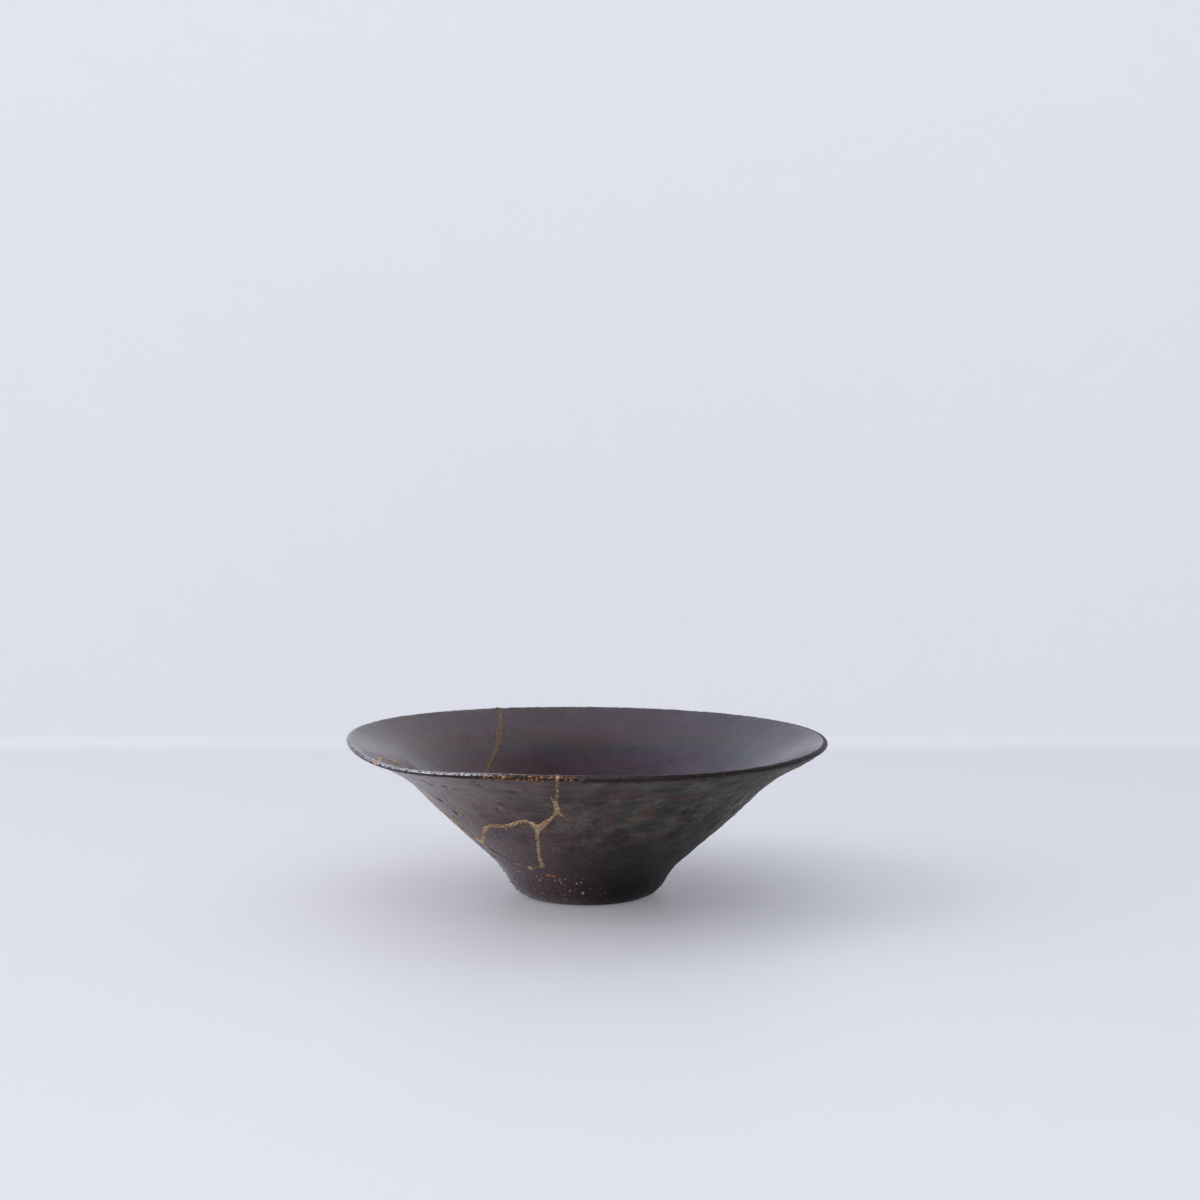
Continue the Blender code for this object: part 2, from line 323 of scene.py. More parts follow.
def wheel_nodes(add):
    """The place on the piece, and its radius and direction from the bowl's axis."""
    place = add("TexCoord").outputs["Object"]
    flat = add("VectorMath", [place, (1.0, 1.0, 0.0)], "MULTIPLY")
    radius = add("VectorMath", [flat], "LENGTH")
    around = add("VectorMath", [flat], "NORMALIZE")
    return place, flat, radius, around


# Smudges burnt into the inside: azimuth, radius, size
SMUDGES = [
    (131.8, 0.0606, 0.0011), (9.1, 0.0633, 0.0008),
    (58.0, 0.0520, 0.0007), (163.0, 0.0480, 0.0009),
]


def lustre_glaze():
    """Iron glaze, melted smooth: a satin gloss, with rings of faint lustre colours."""
    material, add, shader = new_material("iron_lustre_glaze")
    place, flat, radius, around = wheel_nodes(add)
    drift = add("TexNoise", [place, 1 / (24 * MM), 3.0])
    shift = add("MapRange", [drift, 0.3, 0.7, -3.2 * MM, 3.2 * MM])
    ring = add("Math", [radius, shift], "ADD")
    share = add("Math", [ring, RIM_RADIUS], "DIVIDE")
    rings = add("ValToRGB", [share], stops=[
        (0.1, "211a20"), (0.45, "271e25"), (0.6, "2c2029"), (0.675, "321e28"), (0.715, "27242e"),
        (0.748, "222c2c"), (0.778, "302b1f"), (0.808, "3c2122"), (0.87, "342230"), (0.93, "33292f"),
        (0.975, "383435"),
    ])
    # the fire side is wine red, the far side a cool mauve
    turn = add("VectorMath", [around, (1.0, 0.0, 0.0)], "DOT_PRODUCT")
    cool = add("MapRange", [turn, -0.9, 0.9])
    tint = add("ValToRGB", [cool], stops=[
        (0.0, "4a2a25"), (0.42, "34202a"), (0.62, "463743"), (1.0, "4c4b60"),
    ])
    tinted = add("Mix", [0.4, rings, tint], data_type="RGBA")
    cloud = add("TexNoise", [place, 1 / (8 * MM), 4.0])
    mottle = add("TexNoise", [place, 1 / (0.9 * MM), 3.0])
    tone = add("MapRange", [cloud, 0.3, 0.7, 0.8, 1.2])
    speck = add("MapRange", [mottle, 0.3, 0.7, 0.84, 1.16])
    light = add("Math", [tone, speck], "MULTIPLY")
    for azimuth, distance, size in SMUDGES:
        angle = math.radians(azimuth)
        spot = (distance * math.cos(angle), distance * math.sin(angle), 0.0)
        away = add("VectorMath", [flat, spot], "DISTANCE")
        dark = add("MapRange", [away, 0.3 * size, 1.6 * size, 0.45, 1.0])
        light = add("Math", [light, dark], "MULTIPLY")
    colour = add("VectorMath", [tinted, light], "SCALE")
    gloss = add("MapRange", [cloud, 0.3, 0.7, 0.15, 0.23])
    bump = add("Bump", {"Strength": 0.3, "Distance": 0.04 * MM, "Height": mottle})
    feed(shader, {"Base Color": colour, "Roughness": gloss, "Normal": bump})
    return material


FIRE_SIDE = (math.cos(math.radians(228.0)), math.sin(math.radians(228.0)), 0.0)
ROUGH_SIDE = (0.87, -0.30, 0.0)
SPECKLED_LIP = (math.cos(math.radians(257.0)), math.sin(math.radians(257.0)), 0.0)


def dry_glaze():
    """The same glaze, thin and under-melted over rough clay: dull, mottled and pitted."""
    material, add, shader = new_material("dry_iron_glaze")
    place, flat, radius, around = wheel_nodes(add)
    axes = add("SeparateXYZ", [place])
    height = add("Math", [axes.outputs["Z"], BOWL_HEIGHT], "DIVIDE")
    relief = add("Attribute", attribute_name="relief").outputs["Fac"]
    hollow = add("Attribute", attribute_name="hollow").outputs["Fac"]
    side = add("VectorMath", [around, ROUGH_SIDE], "DOT_PRODUCT")
    rough_side = add("MapRange", [side, -0.3, 0.6])
    patch = add("TexNoise", [place, 1 / (8 * MM), 6.0, 0.58])
    blush = add("TexNoise", [place, 1 / (7 * MM), 3.0])
    feed(blush, {"Distortion": 0.6})
    grain = add("TexNoise", [place, 1 / (0.8 * MM), 4.0])
    # throwing streaks: slow round the bowl, quick up the wall
    wheel = add("VectorMath", [around, 5.0], "SCALE")
    rise = add("Math", [axes.outputs["Z"], 1 / (1.3 * MM)], "MULTIPLY")
    up = add("CombineXYZ", {"Z": rise})
    wheel_place = add("VectorMath", [wheel, up])
    streak = add("TexNoise", [wheel_place, 1.0, 4.0])
    # painted light and shade: the left, towards the window, is painted lighter and the right
    # darker, over the glaze's own purple-brown on the left and grey-green on the right
    lit_left_tone = add("ValToRGB", [patch], stops=[
        (0.32, "35262b"), (0.46, "4f3c41"), (0.56, "644b48"), (0.66, "66605d"),
    ])
    shaded_right_tone = add("ValToRGB", [patch], stops=[
        (0.3, "151212"), (0.46, "292723"), (0.58, "3f3e38"), (0.7, "56554c"),
    ])
    wall = add("Mix", [rough_side, lit_left_tone, shaded_right_tone], data_type="RGBA")
    red = add("MapRange", [blush, 0.53, 0.66, 0.0, 0.55])
    red = add("Math", [red, grain], "MULTIPLY")
    wall = add("Mix", [red, wall, linear("6a2c2a")], data_type="RGBA")
    # towards the foot the wall turns purple-brown on the left and near black on the right; the near
    # black is painted shade
    low = add("MapRange", [height, 0.74, 0.14], interpolation_type="SMOOTHSTEP")
    foot_tone_and_shade = add("Mix", [rough_side, linear("4c3a41"), linear("080607")], data_type="RGBA")
    wall = add("Mix", [low, wall, foot_tone_and_shade], data_type="RGBA")
    # at the right edge the crests of the ridges are painted pale, a painted highlight, and the gaps
    # between them are painted dark, painted shade
    eastward = add("VectorMath", [around, (1.0, 0.0, 0.0)], "DOT_PRODUCT")
    far_side = add("MapRange", [eastward, 0.72, 0.92])
    ridge = add("MapRange", [relief, 0.0, 0.6, 0.0, 0.5])
    gap_shade = add("MapRange", [relief, -0.05, -0.6, 0.0, 0.55])
    streaky = add("MapRange", [streak, 0.5, 0.72, 0.0, 0.3])
    above = add("MapRange", [height, 0.3, 0.65])
    # dust here is the painted highlight on the crests
    dust = add("Math", [ridge, far_side], "MULTIPLY")
    dust = add("Math", [dust, above], "MULTIPLY")
    gap_shade = add("Math", [gap_shade, far_side], "MULTIPLY")
    streaky = add("Math", [streaky, above], "MULTIPLY")
    wall = add("Mix", [streaky, wall, linear("6d6a60")], data_type="RGBA")
    wall = add("Mix", [dust, wall, linear("a39c8e")], data_type="RGBA")
    wall = add("Mix", [gap_shade, wall, linear("0e0b0b")], data_type="RGBA")
    # grit burnt pale, rust and cream, thickest above the foot on the fire side
    cells = add("TexVoronoi", [place, 1 / (1.5 * MM)])
    pick = add("SeparateXYZ", [cells.outputs["Color"]])
    dot = add("MapRange", [cells.outputs["Distance"], 0.3, 0.12])
    fired = add("VectorMath", [around, FIRE_SIDE], "DOT_PRODUCT")
    near = add("MapRange", [fired, 0.25, 0.95, 0.25, 1.0])
    lowest = add("MapRange", [height, 0.44, 0.2])
    crowd = add("Math", [near, lowest], "MULTIPLY")
    kept = add("Math", [1.0, crowd, -0.55], "MULTIPLY_ADD")
    kept = add("Math", [kept, pick.outputs["X"]], "ADD")
    kept = add("MapRange", [kept, 0.8, 0.95])
    grit = add("Math", [dot, kept], "MULTIPLY")
    grit = add("Math", [grit, 0.75], "MULTIPLY")
    grit_tone = add("ValToRGB", [pick.outputs["Y"]], stops=[
        (0.0, "5e4436"), (0.35, "7a4a2c"), (0.6, "8b7a66"), (0.9, "b3a58c"),
    ])
    wall = add("Mix", [grit, wall, grit_tone], data_type="RGBA")
    speck = add("MapRange", [grain, 0.32, 0.68, 0.58, 1.42])
    # dents and pinholes are painted darker: painted shade in the hollows
    hole = add("MapRange", [hollow, 0.0, 1.0, 1.0, 0.2])
    speck = add("Math", [speck, hole], "MULTIPLY")
    wall = add("VectorMath", [wall, speck], "SCALE")
    lip = add("MapRange", [radius, 0.978 * RIM_RADIUS, 0.983 * RIM_RADIUS])
    lip_tone = add("ValToRGB", [grain], stops=[(0.46, "120b0b"), (0.6, "231513"), (0.72, "5a2a20")])
    gold_tone = add("ValToRGB", [grain], stops=[
        (0.46, "150d0b"), (0.54, "4a2c18"), (0.62, "b07038"), (0.72, "d0a468"),
    ])
    dull_tone = add("ValToRGB", [grain], stops=[
        (0.42, "0b0706"), (0.6, "1a1210"), (0.74, "4d443c"),
    ])
    here = add("VectorMath", [around, SPECKLED_LIP], "DOT_PRODUCT")
    specked = add("MapRange", [here, 0.972, 0.996, 0.0, 0.8])
    dull_end = add("MapRange", [side, 0.55, 0.85])
    lip_tone = add("Mix", [specked, lip_tone, gold_tone], data_type="RGBA")
    lip_tone = add("Mix", [dull_end, lip_tone, dull_tone], data_type="RGBA")
    colour = add("Mix", [lip, wall, lip_tone], data_type="RGBA")
    dull = add("MapRange", [rough_side, 0.0, 1.0, 0.29, 0.48])
    uneven = add("MapRange", [patch, 0.3, 0.7, -0.05, 0.07])
    dull = add("Math", [dull, uneven], "ADD")
    # where the ash of the fire reached, the glaze took a glassy skin: most on the lip
    glassy = add("MapRange", [side, -0.95, 0.35, 0.42, 0.0])
    facing = add("SeparateXYZ", [add("NewGeometry").outputs["Normal"]]).outputs["Z"]
    crest = add("MapRange", [facing, -0.05, 0.3])
    glassy_lip = add("MapRange", [side, -0.2, 0.6, 1.0, 0.0])
    glassy_lip = add("Math", [glassy_lip, crest], "MULTIPLY")
    # along its crest, on the side towards the window, the thick bead is painted a broken pale
    # silver and made metallic: a painted highlight
    silver_highlight = add("MapRange", [fired, 0.9, 0.97])
    broken = add("MapRange", [grain, 0.42, 0.56])
    for share in (broken, crest, lip):
        silver_highlight = add("Math", [silver_highlight, share], "MULTIPLY")
    colour = add("Mix", [silver_highlight, colour, linear("b3adb4")], data_type="RGBA")
    metal = add("Math", [silver_highlight, 0.8], "MULTIPLY")
    coat = add("Mix", [lip, glassy, glassy_lip])
    pit = add("TexNoise", [place, 1 / (0.45 * MM), 3.0])
    rough = add("Math", [grain, pit], "ADD")
    bump = add("Bump", {"Strength": 0.55, "Distance": 0.11 * MM, "Height": rough})
    feed(shader, {
        "Base Color": colour, "Metallic": metal, "Roughness": dull, "Specular IOR Level": 0.22,
        "Coat Weight": coat, "Coat Roughness": 0.16, "Normal": bump,
    })
    return material


def bare_clay():
    """Unglazed stoneware under the foot, ground flat: brown, dry and gritty."""
    material, add, shader = new_material("bare_stoneware")
    place = add("TexCoord").outputs["Object"]
    grit = add("TexNoise", [place, 1 / (0.7 * MM), 5.0])
    colour = add("ValToRGB", [grit], stops=[(0.35, "3a2d28"), (0.55, "5a463b"), (0.72, "7c6552")])
    bump = add("Bump", {"Strength": 0.6, "Distance": 0.1 * MM, "Height": grit})
    feed(shader, {"Base Color": colour, "Roughness": 0.9, "Normal": bump})
    return material


lustre = lustre_glaze()
dry = dry_glaze()
bare = bare_clay()


# The marks of throwing and firing
# Rings left by the potter's fingers, lumps of coarse clay dragged along them on
# the right, orange-peel pits, a wavering lip, some dents that the maker's
# fingertips left under the rim, and a few pinholes where gas broke out.
DENTS = [
    (223.2, 0.854), (223.3, 0.799), (229.0, 0.807), (242.7, 0.887), (250.4, 0.822), (248.3, 0.744),
    (243.9, 0.681), (240.1, 0.629), (216.2, 0.546), (213.6, 0.619), (242.9, 0.936), (232.0, 0.791),
]
PINHOLES = [
    (298.5, 0.613), (307.8, 0.550), (276.5, 0.692), (306.3, 0.358), (284.0, 0.450), (322.0, 0.600),
]


def on_wall(azimuth, share):
    """The outer wall's point at an azimuth and a share of the wall."""
    radius = FOOT_RADIUS + share * (RIM_RADIUS - FOOT_RADIUS)
    line = outer_line()
    out, up = RIM_RADIUS * math.cos(LIP_SLOPE), RIM_RADIUS * math.sin(LIP_SLOPE)
    line.append((line[-1][0] + out, line[-1][1] + up))
    i = next(k for k in range(len(line)) if line[k + 1][0] > radius)
    t = (radius - line[i][0]) / (line[i + 1][0] - line[i][0])
    return turned_point(azimuth, radius, line[i][1] + t * (line[i + 1][1] - line[i][1]))


def turned_point(azimuth, radius, height):
    angle = math.radians(azimuth)
    return Vector((radius * math.cos(angle), radius * math.sin(angle), height))


def point_cloud(name, points):
    mesh = bpy.data.meshes.new(name)
    mesh.from_pydata(points, [], [])
    cloud = linked(name, mesh)
    cloud.hide_render = True
    return cloud


INPUT_KINDS = [
    (bpy.types.Object, "NodeSocketObject"), (bpy.types.Material, "NodeSocketMaterial"),
    (float, "NodeSocketFloat"), (int, "NodeSocketInt"), (tuple, "NodeSocketVector"),
]


def new_tree(name, values):
    """A geometry tree with an input for each value named, and what adds nodes to it."""
    tree = bpy.data.node_groups.new(name, "GeometryNodeTree")
    tree.interface.new_socket("Geometry", in_out="INPUT", socket_type="NodeSocketGeometry")
    tree.interface.new_socket("Geometry", in_out="OUTPUT", socket_type="NodeSocketGeometry")
    for key, value in values.items():
        kind = next(kind for sort, kind in INPUT_KINDS if isinstance(value, sort))
        tree.interface.new_socket(key, in_out="INPUT", socket_type=kind)
    add = partial(add_node, tree)
    return tree, add, add("GroupInput").outputs


def use_tree(item, tree, values):
    """Put a geometry tree on an object, with its inputs set by identifier."""
    modifier = item.modifiers.new(tree.name, "NODES")
    modifier.node_group = tree
    for socket in tree.interface.items_tree:
        if socket.in_out == "INPUT" and socket.name in values:
            modifier[socket.identifier] = values[socket.name]


dent_cloud = point_cloud("dents", [on_wall(azimuth, share) for azimuth, share in DENTS])
pinhole_cloud = point_cloud("pinholes", [on_wall(azimuth, share) for azimuth, share in PINHOLES])
RELIEF = {
    "Uncut Bowl": uncut_bowl, "Dents": dent_cloud, "Pinholes": pinhole_cloud,
    "Ring Height": 0.035 * MM, "Ring Spacing": 2.2 * MM,
    "Lump Height": 0.13 * MM, "Lump Size": 1.9 * MM,
    "Ridge Height": 0.42 * MM, "Ridge Size": 1.9 * MM,
    "Peel Height": 0.05 * MM, "Peel Size": 1.2 * MM,
    "Pit Depth": 0.16 * MM, "Pit Size": 0.7 * MM,
    "Dent Depth": 0.50 * MM, "Dent Width": 1.7 * MM,
    "Pinhole Depth": 0.45 * MM, "Pinhole Width": 0.85 * MM,
    "Sway Height": 0.12 * MM, "Sway Size": 17.0 * MM,
    "Lip Height": 0.13 * MM, "Lip Lump": 1.5 * MM, "Lip Swell": 0.22 * MM,
    "Rim Radius": RIM_RADIUS, "Seed": 7,
    "Inside Glaze": lustre, "Outside Glaze": dry, "Bare Clay": bare,
}


def thrown_relief_tree(values):
    """Moves a clay skin in and out by the marks of throwing and firing."""
    tree, add, given = new_tree("thrown_relief", values)

    def swing(vector, size, shift, detail=2.0):
        """Noise from -1 to 1 with features of about the size given."""
        scale = add("Math", [1.0, size], "DIVIDE")
        seed = add("Math", [given["Seed"], shift], "ADD")
        noise = add("TexNoise", [vector, seed, scale, detail], noise_dimensions="4D")
        return add("MapRange", [noise, 0.25, 0.75, -1.0, 1.0])

    uncut = add("ObjectInfo", [given["Uncut Bowl"]]).outputs["Geometry"]
    place = add("InputPosition")
    normal = add("InputNormal")
    mark = add("InputNamedAttribute", {"Name": "skin"}, data_type="FLOAT")
    way = add("SampleNearestSurface", [uncut, normal], data_type="FLOAT_VECTOR")
    skin = add("SampleNearestSurface", [uncut, mark], data_type="FLOAT")
    flat = add("VectorMath", [place, (1.0, 1.0, 0.0)], "MULTIPLY")
    radius = add("VectorMath", [flat], "LENGTH")
    around = add("VectorMath", [flat], "NORMALIZE")
    rise = add("SeparateXYZ", [place]).outputs["Z"]

    # places on the wheel: stretched round the bowl, so that marks run in rings
    slow = add("VectorMath", [around, 20 * MM], "SCALE")
    up = add("CombineXYZ", {"Z": rise})
    wheel = add("VectorMath", [slow, up])

    side = add("VectorMath", [around, ROUGH_SIDE], "DOT_PRODUCT")
    rough_side = add("MapRange", [side, -0.1, 0.75, 0.1, 1.0])
    ring = swing(wheel, given["Ring Spacing"], 1.0)
    rings = add("Math", [ring, given["Ring Height"]], "MULTIPLY")
    lumps = add("Math", [swing(place, given["Lump Size"], 2.0), given["Lump Height"]], "MULTIPLY")
    true_turn = add("VectorMath", [around, 52 * MM], "SCALE")
    half_up = add("VectorMath", [up, 0.6], "SCALE")
    upward = add("VectorMath", [true_turn, half_up])
    ridge = swing(upward, given["Ridge Size"], 6.0)
    ridges = add("Math", [ridge, given["Ridge Height"]], "MULTIPLY")
    off_foot_share = add("MapRange", [rise, 12 * MM, 26 * MM, 0.15, 1.0])
    ridges = add("Math", [ridges, off_foot_share], "MULTIPLY")
    side_lumps = add("Math", [add("Math", [lumps, ridges], "ADD"), rough_side], "MULTIPLY")
    peel = add("Math", [swing(place, given["Peel Size"], 3.0), given["Peel Height"]], "MULTIPLY")
    slow_sway = swing(place, given["Sway Size"], 4.0, 1.0)
    sway = add("Math", [slow_sway, given["Sway Height"]], "MULTIPLY")
    pit_cell = add("Math", [given["Pit Size"], 4.0], "MULTIPLY")
    cells = add("TexVoronoi", [place, add("Math", [1.0, pit_cell], "DIVIDE")])
    chosen = add("SeparateXYZ", [cells.outputs["Color"]]).outputs["X"]
    few = add("MapRange", [chosen, 0.55, 0.75])
    off_pit = cells.outputs["Distance"]
    hollow = add("MapRange", [off_pit, 0.24, 0.06], interpolation_type="SMOOTHSTEP")
    pits = add("Math", [add("Math", [few, hollow], "MULTIPLY"), given["Pit Depth"]], "MULTIPLY")
    dent_points = add("ObjectInfo", [given["Dents"]]).outputs["Geometry"]
    away = add("Proximity", [dent_points], target_element="POINTS").outputs["Distance"]
    dent = add("MapRange", [away, given["Dent Width"], 0.0], interpolation_type="SMOOTHSTEP")
    dents = add("Math", [dent, given["Dent Depth"]], "MULTIPLY")
    hole_points = add("ObjectInfo", [given["Pinholes"]]).outputs["Geometry"]
    off_hole = add("Proximity", [hole_points], target_element="POINTS").outputs["Distance"]
    hole = add("MapRange", [off_hole, given["Pinhole Width"], 0.0])
    dents = add("Math", [dents, add("Math", [hole, given["Pinhole Depth"]], "MULTIPLY")], "ADD")
    # how deep in a pinhole or dent a point lies, stored for the outside glaze to darken as painted
    # shade
    hollow_shade_mark = add("Math", [hole, add("Math", [dent, 0.45], "MULTIPLY")], "ADD", use_clamp=True)
    thrown = add("Math", [rings, side_lumps], "ADD")
    outside = add("Math", [thrown, add("Math", [peel, sway], "ADD")], "ADD")
    outside = add("Math", [outside, add("Math", [pits, dents], "ADD")], "SUBTRACT")
    faint_rings = add("Math", [rings, 0.3], "MULTIPLY")
    inside = add("Math", [faint_rings, add("Math", [sway, -1.0], "MULTIPLY")], "ADD")
    is_outside = add("Math", [skin, 1.0], "MULTIPLY", use_clamp=True)
    off_foot = add("MapRange", [skin, 1.02, 1.3, 1.0, 0.0])
    ease_foot = add("MapRange", [rise, 0.0, 0.9 * MM])
    wall = add("Mix", [is_outside, inside, outside])
    wall = add("Math", [add("Math", [wall, off_foot], "MULTIPLY"), ease_foot], "MULTIPLY")
    edge_from = add("Math", [given["Rim Radius"], 0.972], "MULTIPLY")
    edge_to = add("Math", [given["Rim Radius"], 0.984], "MULTIPLY")
    edge = add("MapRange", [radius, edge_from, edge_to])
    lip = add("Math", [swing(place, given["Lip Lump"], 5.0, 3.0), given["Lip Height"]], "MULTIPLY")
    fired = add("VectorMath", [around, FIRE_SIDE], "DOT_PRODUCT")
    bead = add("MapRange", [fired, 0.8, 0.985], interpolation_type="SMOOTHSTEP")
    lip = add("Math", [lip, add("Math", [bead, given["Lip Swell"]], "MULTIPLY")], "ADD")
    move = add("Mix", [edge, wall, lip])
    offset = add("VectorMath", [way, move], "SCALE")

    marked = add("CaptureAttribute", [given["Geometry"]])
    for name in ("Skin", "Ridge", "Hollow"):
        marked.capture_items.new("FLOAT", name)
    feed(marked, {1: skin, 2: ridge, 3: hollow_shade_mark})
    moved = add("SetPosition", {0: marked, "Offset": offset})
    on_outside = add("Compare", [marked.outputs[1], 0.5], "GREATER_THAN")
    on_foot = add("Compare", [marked.outputs[1], 1.5], "GREATER_THAN")
    told = moved
    for name, value in (("relief", marked.outputs[2]), ("hollow", marked.outputs[3])):
        told = add(
            "StoreNamedAttribute", {"Geometry": told, "Name": name, "Value": value},
            data_type="FLOAT",
        )
    whole = add("RealizeInstances", [told])
    glazed = add("SetMaterial", {0: whole, "Material": given["Inside Glaze"]})
    for where, glaze in ((on_outside, "Outside Glaze"), (on_foot, "Bare Clay")):
        glazed = add("SetMaterial", {0: glazed, "Selection": where, "Material": given[glaze]})
    add("GroupOutput", [glazed])
    return tree


relief_tree = thrown_relief_tree(RELIEF)


def ease_out_of_true(item):
    """Tilt the wall, dip its rim and lean it to +X, and leave the foot flat."""
    for vert in item.data.vertices:
        x, y, z = vert.co
        share = max(z, 0.0) / BOWL_HEIGHT
        rim_only = share ** RIM_ONLY_POWER
        angle = math.atan2(y, x)
        vert.co.x = x + WALL_LEAN * share * (1 - rim_only)
        vert.co.z = z + tilt_at(angle) * share - dip_at(angle) * rim_only


# The break
# The bowl broke into a body and two sherds, and a crack ran down the far wall.
# The sherds fit back with a hair of room for the lacquer. The breaks run square
# through the wall. The lines below are those of the solid model's joints, as
# azimuth, share of the wall and width of the gold.
PAST_THE_LIP = 1.08
UPPER_KNOT = (252.6, 0.526, 0.0032)
LEFT_KNOT = (214.5, 0.351, 0.0024)
LOWER_KNOT = (246.2, 0.250, 0.0022)
RIM_TO_UPPER = [
    (264.3, PAST_THE_LIP, 0.0024), (263.2, 0.915, 0.0012), (261.9, 0.785, 0.0012),
    (260.9, 0.700, 0.0018), (260.8, 0.652, 0.0018), (257.9, 0.590, 0.0015), UPPER_KNOT,
]
UPPER_TO_LEFT = [
    UPPER_KNOT, (249.7, 0.558, 0.0020), (247.4, 0.563, 0.0018), (244.6, 0.546, 0.0018),
    (239.5, 0.520, 0.0016), (233.2, 0.508, 0.0018), (229.0, 0.487, 0.0018),
    (225.4, 0.452, 0.0017), (221.7, 0.407, 0.0017), LEFT_KNOT,
]
LEFT_TO_RIM = [
    LEFT_KNOT, (209.6, 0.366, 0.0016), (207.2, 0.402, 0.0016), (206.0, 0.440, 0.0018),
    (203.0, 0.485, 0.0016), (194.0, 0.545, 0.0015), (187.5, 0.680, 0.0014),
    (191.0, 0.790, 0.0015), (200.0, 0.885, 0.0015), (210.0, 0.960, 0.0019),
    (217.5, PAST_THE_LIP, 0.0027),
]
LEFT_TO_LOWER = [
    LEFT_KNOT, (214.8, 0.314, 0.0013), (217.2, 0.288, 0.0012), (221.8, 0.268, 0.0010),
    (229.0, 0.232, 0.0011), (235.7, 0.221, 0.0014), (241.1, 0.228, 0.0011), LOWER_KNOT,
]
UPPER_TO_LOWER = [
    UPPER_KNOT, (250.9, 0.477, 0.0015), (249.7, 0.420, 0.0014), (248.2, 0.362, 0.0014),
    (246.7, 0.300, 0.0016), LOWER_KNOT,
]
BACK_CRACK = [
    (113.6, PAST_THE_LIP, 0.0018), (115.7, 0.900, 0.0018), (118.9, 0.795, 0.0022),
    (122.2, 0.702, 0.0020), (126.1, 0.643, 0.0018), (130.1, 0.595, 0.0017),
    (134.8, 0.545, 0.0016), (140.6, 0.480, 0.0014), (146.4, 0.410, 0.0012),
    (151.2, 0.340, 0.0009),
]
ROUTE_STEPS = 4
JOINT_GAP = 0.0008
CUT_SLOPE = math.radians(-47.0)
CUT_OUTWARD = 0.0250
CUT_INWARD = 0.0120
RIM_ARC_STEP = 4.0
CREASE_ANGLE = math.radians(50.0)


def cut_direction(azimuth):
    """The way that the breaks pass through the wall, square to its cone."""
    return turned_point(azimuth, math.cos(CUT_SLOPE), math.sin(CUT_SLOPE))


def chained(*routes):
    """Routes run one after another as one smooth line each, in one list."""
    return [point for route in routes for point in smooth_line(route, ROUTE_STEPS)[:-1]]


def rim_arc(start, end):
    """Points past the lip from one azimuth to another, for an open side."""
    count = math.ceil(abs(end - start) / RIM_ARC_STEP)
    return [(start + (end - start) * i / count, PAST_THE_LIP, 0.0) for i in range(count)]


def shifted_outline(route, closed, shift):
    """A route's points on the wall, moved sideways: to the right, for a shift over 0."""
    points = [on_wall(azimuth, share) for azimuth, share, width in route]
    count = len(points)
    outline = []
    for i, (azimuth, share, width) in enumerate(route):
        back = points[i - 1] if closed or i > 0 else points[i]
        ahead = points[(i + 1) % count] if closed or i < count - 1 else points[i]
        along = (ahead - back).normalized()
        right = along.cross(cut_direction(azimuth)).normalized()
        outline.append((azimuth, points[i] + (shift if width else 0.0) * right))
    return outline


def through_wall(name, outline):
    """A cutter with the given outline that passes right through the wall."""
    bm = bmesh.new()
    outside, inside = (
        [bm.verts.new(point + reach * cut_direction(azimuth)) for azimuth, point in outline]
        for reach in (CUT_OUTWARD, -CUT_INWARD)
    )
    for i in range(len(outline)):
        bm.faces.new((outside[i - 1], outside[i], inside[i], inside[i - 1]))
    bm.faces.new(outside[::-1])
    bm.faces.new(inside)
    bmesh.ops.triangulate(bm, faces=bm.faces)
    bmesh.ops.recalc_face_normals(bm, faces=bm.faces)
    mesh = bpy.data.meshes.new(name)
    bm.to_mesh(mesh)
    bm.free()
    return linked(name, mesh)


def broken_piece(name, operation, cutters):
    """One piece of the broken bowl, with its relief, its glazes and its warp."""
    piece = linked(name, uncut_bowl.data.copy())
    for cutter in cutters:
        change = piece.modifiers.new(operation.title(), "BOOLEAN")
        change.operation = operation
        change.solver = "MANIFOLD"
        change.object = cutter
    use_tree(piece, relief_tree, RELIEF)
    piece.data = evaluated_mesh(piece)
    piece.modifiers.clear()
    for cutter in cutters:
        bpy.data.objects.remove(cutter, do_unlink=True)
    ease_out_of_true(piece)
    piece.data.shade_smooth()
    piece.data.set_sharp_from_angle(angle=CREASE_ANGLE)
    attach(piece, "root")
    return piece


rim_side = rim_arc(LEFT_TO_RIM[-1][0], RIM_TO_UPPER[0][0])
both_edges = chained(RIM_TO_UPPER, UPPER_TO_LOWER, LEFT_TO_LOWER[::-1], LEFT_TO_RIM) + rim_side
rim_sherd_edge = chained(RIM_TO_UPPER, UPPER_TO_LEFT, LEFT_TO_RIM) + rim_side
wall_sherd_edge = chained(UPPER_TO_LOWER, LEFT_TO_LOWER[::-1], UPPER_TO_LEFT[::-1])
crack_line = smooth_line(BACK_CRACK, ROUTE_STEPS)
crack_edge = (
    shifted_outline(crack_line, False, JOINT_GAP / 2)
    + shifted_outline(crack_line, False, -JOINT_GAP / 2)[::-1]
)
sherd_opening = through_wall("sherd_opening", shifted_outline(both_edges, True, -JOINT_GAP / 2))
crack_slot = through_wall("crack_slot", crack_edge)
body_clay = broken_piece("bowl_body_clay", "DIFFERENCE", [sherd_opening, crack_slot])
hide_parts("bowl_body")

rim_sherd_outline = shifted_outline(rim_sherd_edge, True, JOINT_GAP / 2)
rim_sherd_cutter = through_wall("rim_sherd_cutter", rim_sherd_outline)
rim_sherd_clay = broken_piece("rim_sherd_clay", "INTERSECT", [rim_sherd_cutter])
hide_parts("rim_sherd")

wall_sherd_outline = shifted_outline(wall_sherd_edge, True, JOINT_GAP / 2)
wall_sherd_cutter = through_wall("wall_sherd_cutter", wall_sherd_outline)
wall_sherd_clay = broken_piece("wall_sherd_clay", "INTERSECT", [wall_sherd_cutter])
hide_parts("wall_sherd")


